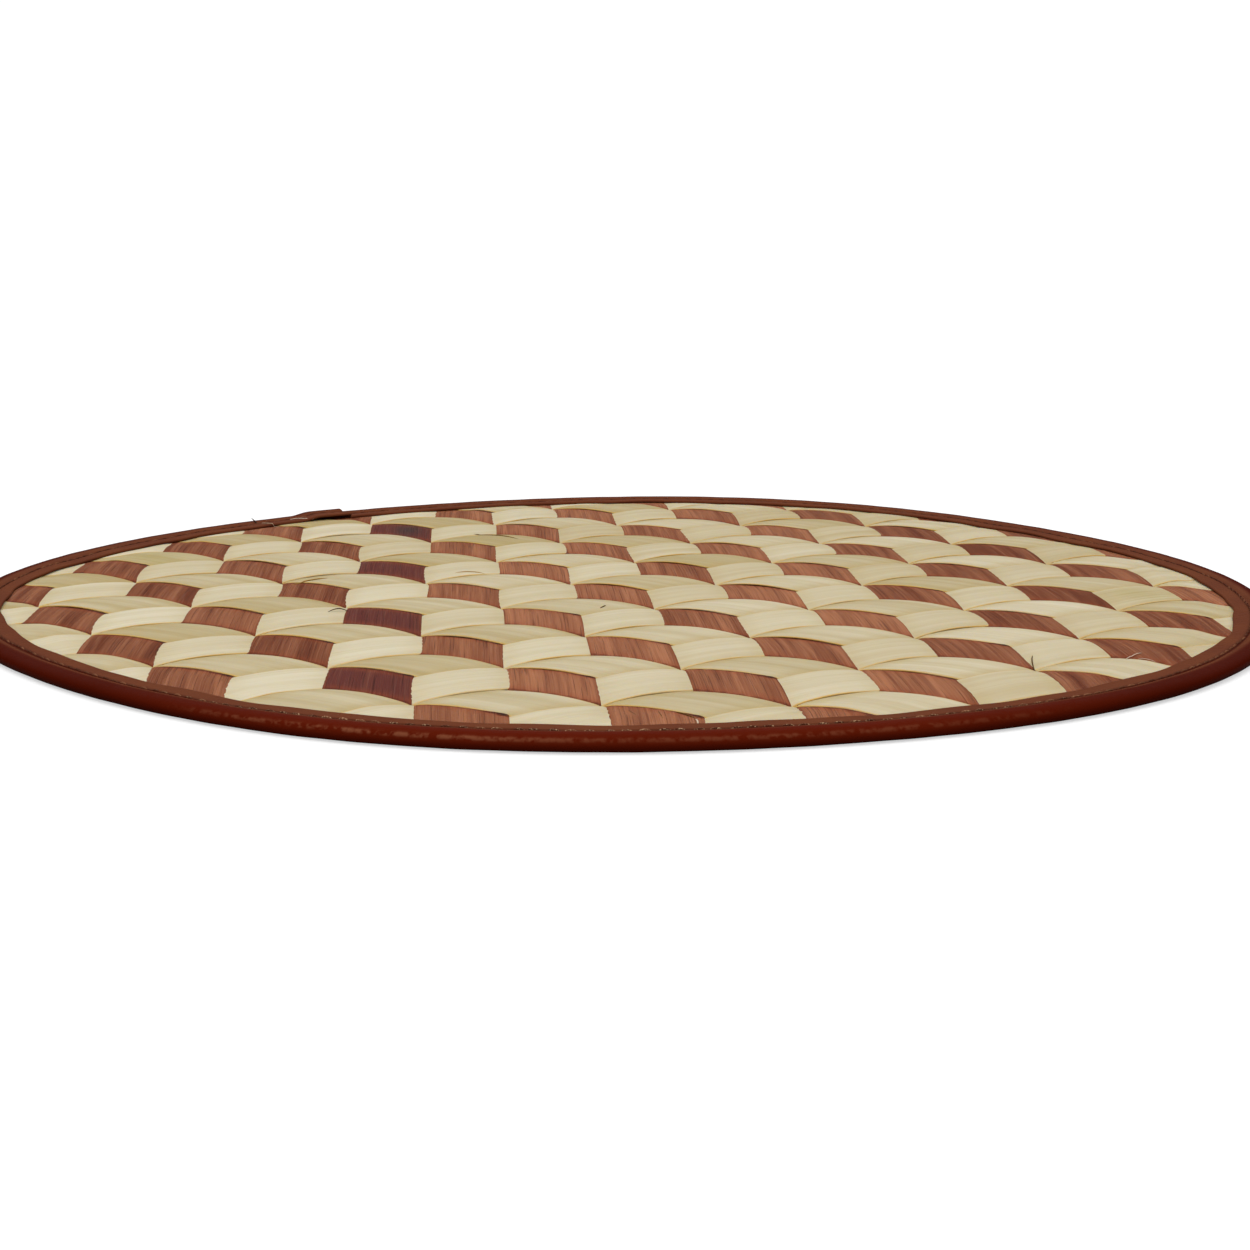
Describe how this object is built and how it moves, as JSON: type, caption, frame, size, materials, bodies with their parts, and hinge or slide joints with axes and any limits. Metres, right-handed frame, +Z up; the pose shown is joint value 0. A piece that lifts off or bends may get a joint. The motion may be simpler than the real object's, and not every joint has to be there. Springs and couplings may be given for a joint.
{
  "type": "round woven placemat",
  "caption": "Round flat table mat plaited from wide flat strips in three directions, with a folded, sewn tape round its rim.",
  "frame": {"origin": "centre of the mat, in the plane of the surface it lies on", "axes": "+Z up out of the face, +Y away from the near side of the rim, along the brown strips to within 4 degrees, +X to the right"},
  "size_m": [0.3832, 0.3833, 0.0055],
  "materials": {
    "bamboo_strip": "satin flat bamboo strip, one direction dyed brown and two left cream, fine grain along each strip",
    "binding_tape": "semi-gloss dark brown leather-look tape with a fine grain"
  },
  "bodies": {
    "root": {"woven_panel": "bamboo_strip", "edge_binding": "binding_tape"}
  },
  "joints": []
}
